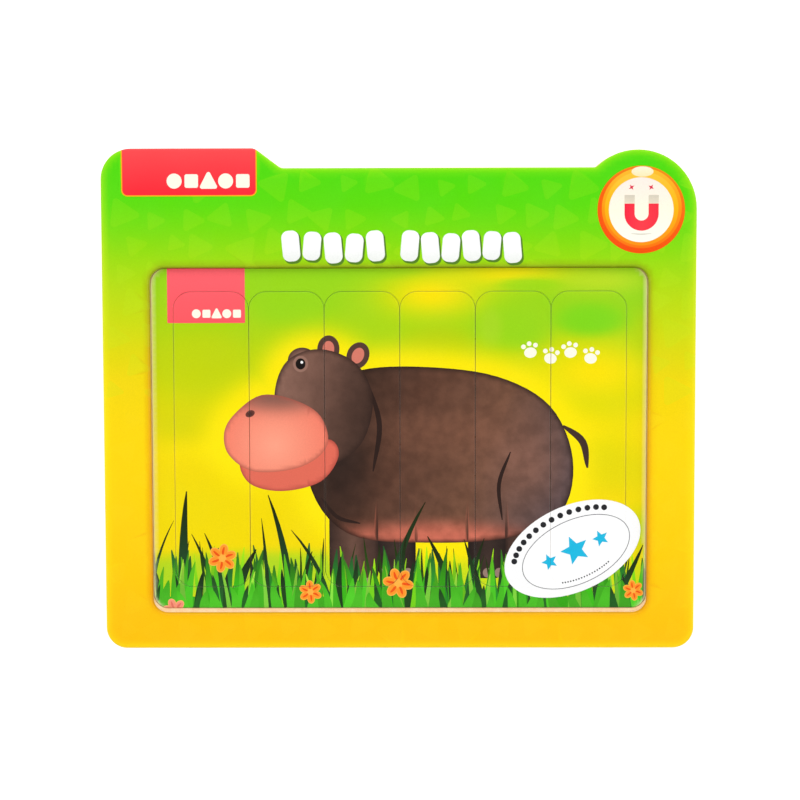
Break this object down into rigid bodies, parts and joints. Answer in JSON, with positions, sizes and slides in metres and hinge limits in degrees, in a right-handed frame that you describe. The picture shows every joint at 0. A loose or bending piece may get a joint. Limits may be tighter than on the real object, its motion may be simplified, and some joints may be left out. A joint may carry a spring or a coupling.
{
  "type": "magnetic stick puzzle in a foam tray",
  "caption": "Magnetic jigsaw of upright sticks that make up one picture, in a loose surround and a raised foam tray with a steel floor.",
  "frame": {"origin": "middle of the footprint, on the flat back face", "axes": "+X along the width to the right, +Y towards the top of the picture, +Z out of the face"},
  "size_m": [0.18, 0.1526, 0.0072],
  "materials": {
    "frame_print": "glossy printed film, green at the top to orange-yellow at the bottom",
    "panel_print": "glossy printed film with a cartoon animal in grass",
    "foam": "matt closed-cell foam, peach",
    "magnet_sheet": "matt soft magnet sheet, dark brown",
    "steel_sheet": "thin tinned steel, satin",
    "sticker_paper": "semi-gloss white paper with a plain printed badge"
  },
  "bodies": {
    "tray": {"base_board": "foam", "iron_sheet": "steel_sheet", "frame_foam": "foam", "frame_film": "frame_print"},
    "surround": {"surround_magnet": "magnet_sheet", "surround_foam": "foam", "surround_film": "panel_print", "sticker_on_surround": "sticker_paper"},
    "stick_1": {"stick_1_magnet": "magnet_sheet", "stick_1_foam": "foam", "stick_1_film": "panel_print"},
    "stick_2": {"stick_2_magnet": "magnet_sheet", "stick_2_foam": "foam", "stick_2_film": "panel_print"},
    "stick_3": {"stick_3_magnet": "magnet_sheet", "stick_3_foam": "foam", "stick_3_film": "panel_print"},
    "stick_4": {"stick_4_magnet": "magnet_sheet", "stick_4_foam": "foam", "stick_4_film": "panel_print"},
    "stick_5": {"stick_5_magnet": "magnet_sheet", "stick_5_foam": "foam", "stick_5_film": "panel_print", "sticker_on_stick_5": "sticker_paper"},
    "stick_6": {"stick_6_magnet": "magnet_sheet", "stick_6_foam": "foam", "stick_6_film": "panel_print", "sticker_on_stick_6": "sticker_paper"}
  },
  "joints": [
    {"name": "surround_lift", "type": "slide", "parent": "tray", "child": "surround", "axis": [0, 0, 1], "range_m": [0, 0.02]},
    {"name": "stick_1_lift", "type": "slide", "parent": "tray", "child": "stick_1", "axis": [0, 0, 1], "range_m": [0, 0.04]},
    {"name": "stick_2_lift", "type": "slide", "parent": "tray", "child": "stick_2", "axis": [0, 0, 1], "range_m": [0, 0.04]},
    {"name": "stick_3_lift", "type": "slide", "parent": "tray", "child": "stick_3", "axis": [0, 0, 1], "range_m": [0, 0.04]},
    {"name": "stick_4_lift", "type": "slide", "parent": "tray", "child": "stick_4", "axis": [0, 0, 1], "range_m": [0, 0.04]},
    {"name": "stick_5_lift", "type": "slide", "parent": "tray", "child": "stick_5", "axis": [0, 0, 1], "range_m": [0, 0.04]},
    {"name": "stick_6_lift", "type": "slide", "parent": "tray", "child": "stick_6", "axis": [0, 0, 1], "range_m": [0, 0.04]}
  ]
}
